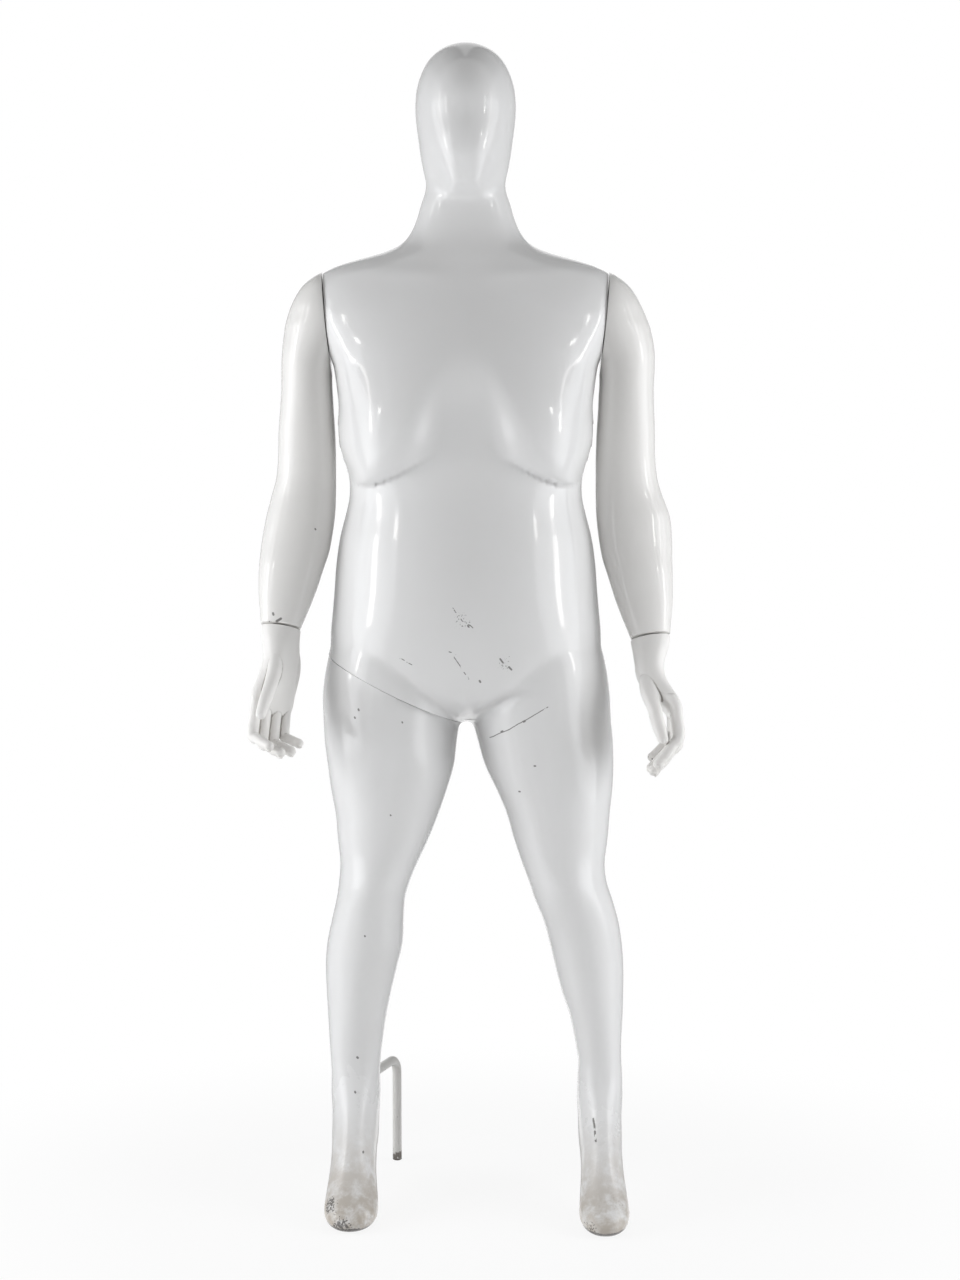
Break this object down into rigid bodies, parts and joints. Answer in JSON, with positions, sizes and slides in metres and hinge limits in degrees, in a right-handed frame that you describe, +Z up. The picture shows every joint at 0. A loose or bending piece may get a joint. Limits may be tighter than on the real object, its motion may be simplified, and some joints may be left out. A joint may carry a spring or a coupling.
{
  "type": "full body display mannequin",
  "caption": "Plus-size female full-body display mannequin in gloss white, standing on raised toes and a bent calf rod, with removable arms, hands and leg.",
  "frame": {"origin": "on the floor, under the middle of the bounding box", "axes": "+Z up along the height; the figure faces -Y; its own left side is +X"},
  "size_m": [0.6482, 0.3765, 1.8068],
  "materials": {
    "white_gloss_shell": "gloss white paint on glass-fibre laminate, worn and lightly scratched",
    "rod_paint": "white paint, worn to bare steel at the tip",
    "screw_steel": "zinc plated",
    "nylon_washer": "natural nylon",
    "fitting_steel": "turned, satin"
  },
  "bodies": {
    "body": {"body_shell": "white_gloss_shell", "hip_socket": "fitting_steel", "hip_socket_screws": "screw_steel", "left_shoulder_socket": "fitting_steel", "left_shoulder_socket_screws": "screw_steel", "right_shoulder_socket": "fitting_steel", "right_shoulder_socket_screws": "screw_steel"},
    "left_shoulder_ring": {"left_shoulder_washer": "nylon_washer"},
    "left_arm": {"left_arm_shell": "white_gloss_shell", "left_shoulder_spigot": "fitting_steel", "left_shoulder_spigot_screws": "screw_steel", "left_wrist_socket": "fitting_steel", "left_wrist_socket_screws": "screw_steel"},
    "left_wrist_ring": {"left_wrist_washer": "nylon_washer"},
    "left_hand": {"left_hand": "white_gloss_shell", "left_wrist_spigot": "fitting_steel", "left_wrist_spigot_screws": "screw_steel"},
    "right_shoulder_ring": {"right_shoulder_washer": "nylon_washer"},
    "right_arm": {"right_arm_shell": "white_gloss_shell", "right_shoulder_spigot": "fitting_steel", "right_shoulder_spigot_screws": "screw_steel", "right_wrist_socket": "fitting_steel", "right_wrist_socket_screws": "screw_steel"},
    "right_wrist_ring": {"right_wrist_washer": "nylon_washer"},
    "right_hand": {"right_hand": "white_gloss_shell", "right_wrist_spigot": "fitting_steel", "right_wrist_spigot_screws": "screw_steel"},
    "right_leg": {"right_leg_shell": "white_gloss_shell", "hip_spigot": "fitting_steel", "hip_spigot_screws": "screw_steel", "hip_dowel": "screw_steel", "calf_socket": "fitting_steel"},
    "calf_screw": {"calf_grub_screw": "screw_steel"},
    "calf_support": {"calf_rod": "rod_paint"}
  },
  "joints": [
    {"name": "left_shoulder_pull", "type": "slide", "parent": "body", "child": "left_shoulder_ring", "axis": [0.9957, 0, -0.0924], "range_m": [0, 0.05]},
    {"name": "left_shoulder_turn", "type": "hinge", "parent": "left_shoulder_ring", "child": "left_arm", "pos_m": [0.213, 0.008, 1.388], "axis": [-0.9957, 0, 0.0924], "range_deg": [-30, 120]},
    {"name": "left_wrist_pull", "type": "slide", "parent": "left_arm", "child": "left_wrist_ring", "axis": [0.129, -0.3392, -0.9318], "range_m": [0, 0.03]},
    {"name": "left_wrist_turn", "type": "hinge", "parent": "left_wrist_ring", "child": "left_hand", "pos_m": [0.283, -0.06, 0.90015], "axis": [0.129, -0.3392, -0.9318], "continuous": true},
    {"name": "right_shoulder_pull", "type": "slide", "parent": "body", "child": "right_shoulder_ring", "axis": [-0.9957, 0, -0.0924], "range_m": [0, 0.05]},
    {"name": "right_shoulder_turn", "type": "hinge", "parent": "right_shoulder_ring", "child": "right_arm", "pos_m": [-0.213, 0.008, 1.388], "axis": [-0.9957, 0, -0.0924], "range_deg": [-30, 120]},
    {"name": "right_wrist_pull", "type": "slide", "parent": "right_arm", "child": "right_wrist_ring", "axis": [-0.1243, -0.3394, -0.9324], "range_m": [0, 0.03]},
    {"name": "right_wrist_turn", "type": "hinge", "parent": "right_wrist_ring", "child": "right_hand", "pos_m": [-0.283, -0.06, 0.915], "axis": [-0.1243, -0.3394, -0.9324], "continuous": true},
    {"name": "right_leg_pull", "type": "slide", "parent": "body", "child": "right_leg", "axis": [-0.4462, 0, -0.8949], "range_m": [0, 0.07]},
    {"name": "calf_screw_turn", "type": "hinge", "parent": "right_leg", "child": "calf_screw", "pos_m": [-0.16932, 0.0377, 0.1755], "axis": [0.9336, -0.3584, 0], "continuous": true},
    {"name": "rod_pull", "type": "slide", "parent": "right_leg", "child": "calf_support", "axis": [0.3584, 0.9336, 0], "range_m": [0, 0.066]}
  ]
}
